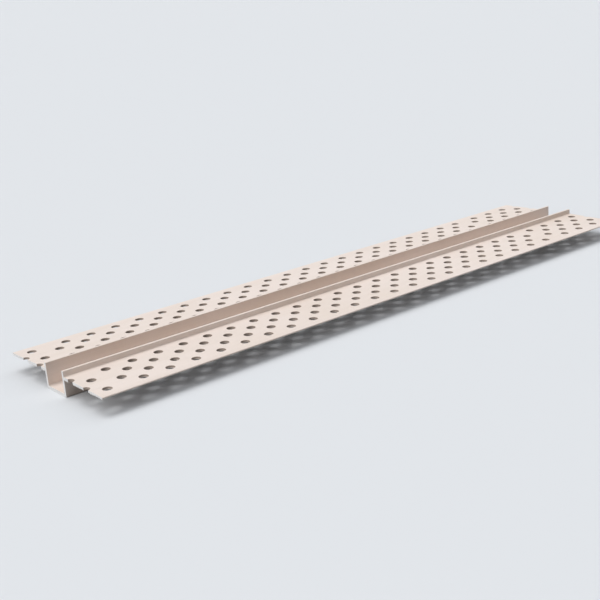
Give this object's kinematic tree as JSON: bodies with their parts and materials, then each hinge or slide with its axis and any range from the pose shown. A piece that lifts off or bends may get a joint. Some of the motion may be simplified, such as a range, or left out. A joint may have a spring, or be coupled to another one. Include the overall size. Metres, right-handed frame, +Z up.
{
  "type": "perforated reveal bead",
  "caption": "Short length of perforated plastic reveal bead: a square shadow-gap channel with raised lips and a punched fixing wing on each side.",
  "frame": {"origin": "under the middle of the channel's floor, on the surface that the bead lies on", "axes": "+X along the length, +Y across the bead to the back wing, +Z up out of the open groove"},
  "size_m": [0.26, 0.062, 0.009],
  "materials": {
    "cream_rigid_pvc": "satin"
  },
  "bodies": {
    "root": {"reveal_bead": "cream_rigid_pvc"}
  },
  "joints": []
}
